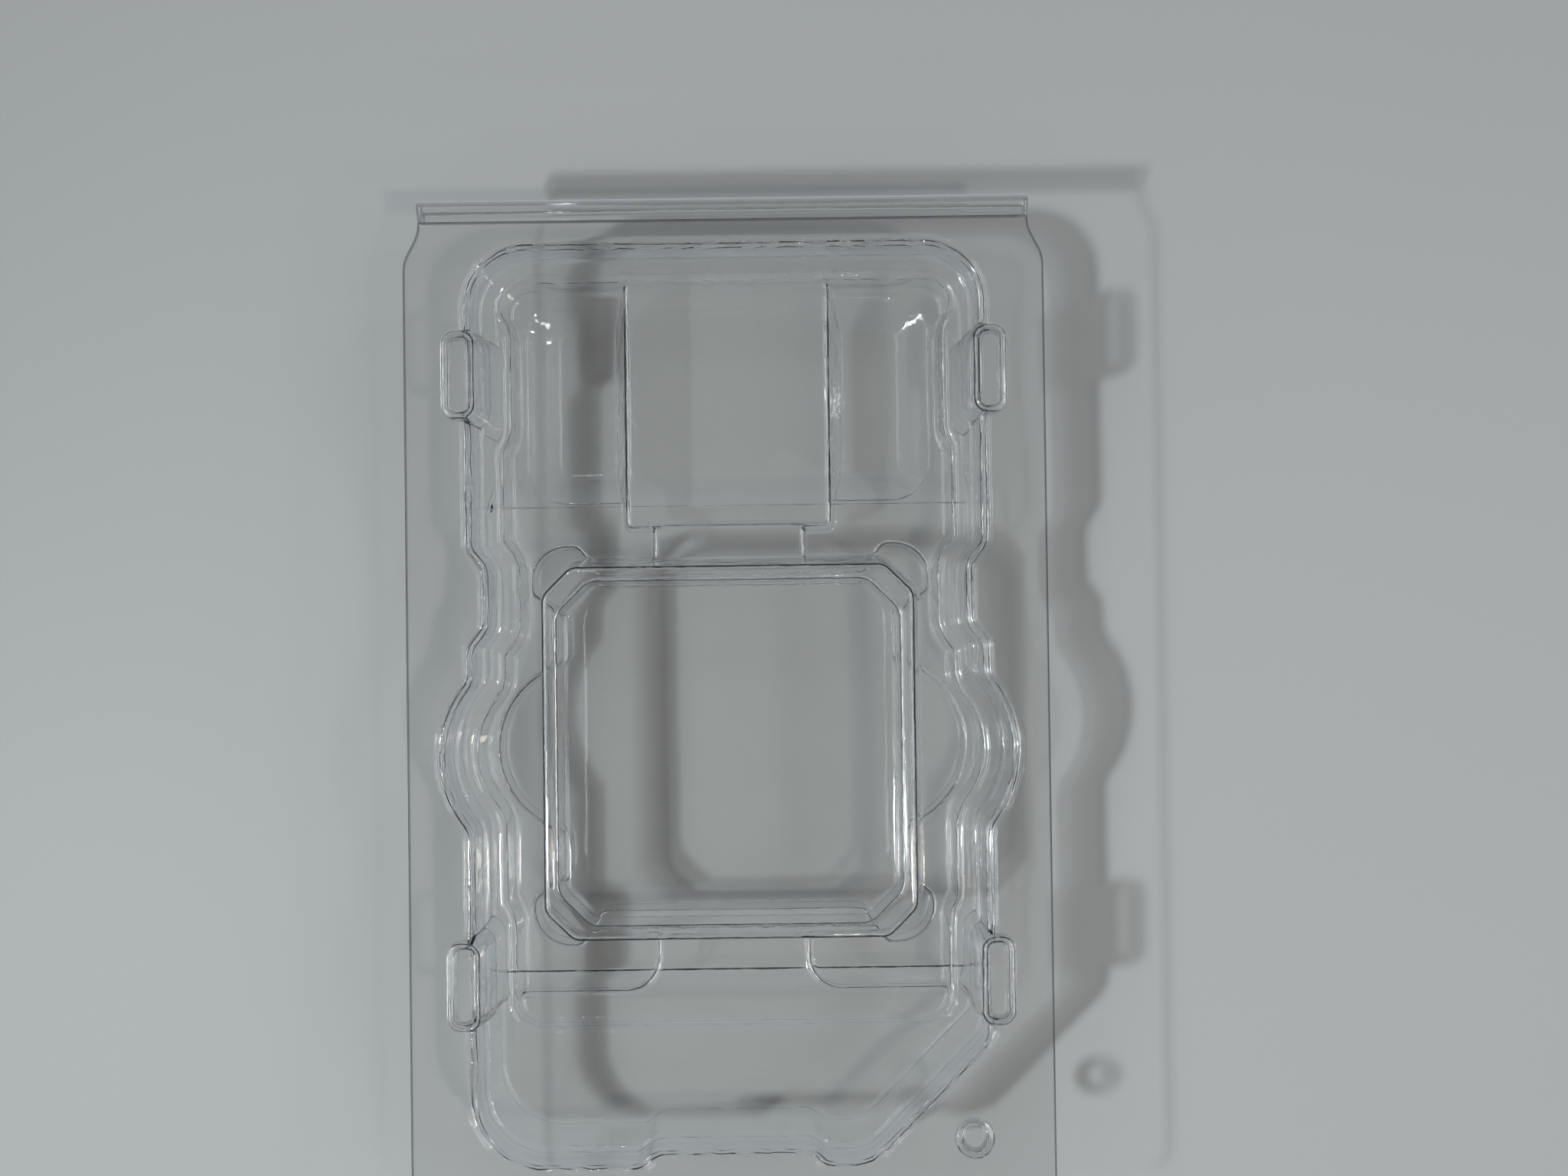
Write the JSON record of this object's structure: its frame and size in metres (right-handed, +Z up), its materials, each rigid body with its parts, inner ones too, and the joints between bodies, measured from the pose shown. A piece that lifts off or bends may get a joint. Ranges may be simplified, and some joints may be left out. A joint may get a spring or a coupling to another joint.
{
  "type": "plastic clamshell pack",
  "caption": "Clear formed-sheet clamshell pack for a square chip: a tray and a nested lid with snaps, finger bulges and storage rooms, joined by a living hinge.",
  "frame": {"origin": "centre of the pack's footprint, on the surface that the tray rests on", "axes": "+Z up from the tray to the lid, +Y towards the hinge, +X to the right when the lid faces the viewer with the hinge at the top"},
  "size_m": [0.075, 0.1214, 0.014],
  "materials": {
    "clear_sheet": "clear, glossy formed plastic sheet",
    "hinge_film": "clear folded plastic film"
  },
  "bodies": {
    "tray": {"front_tray": "clear_sheet", "living_hinge": "hinge_film"},
    "lid": {"rear_lid": "clear_sheet"}
  },
  "joints": [
    {"name": "lid_hinge", "type": "hinge", "parent": "tray", "child": "lid", "pos_m": [0, 0.0598, 0.01208], "axis": [-1, 0, 0], "range_deg": [0, 180], "deforming": ["living_hinge"]}
  ]
}
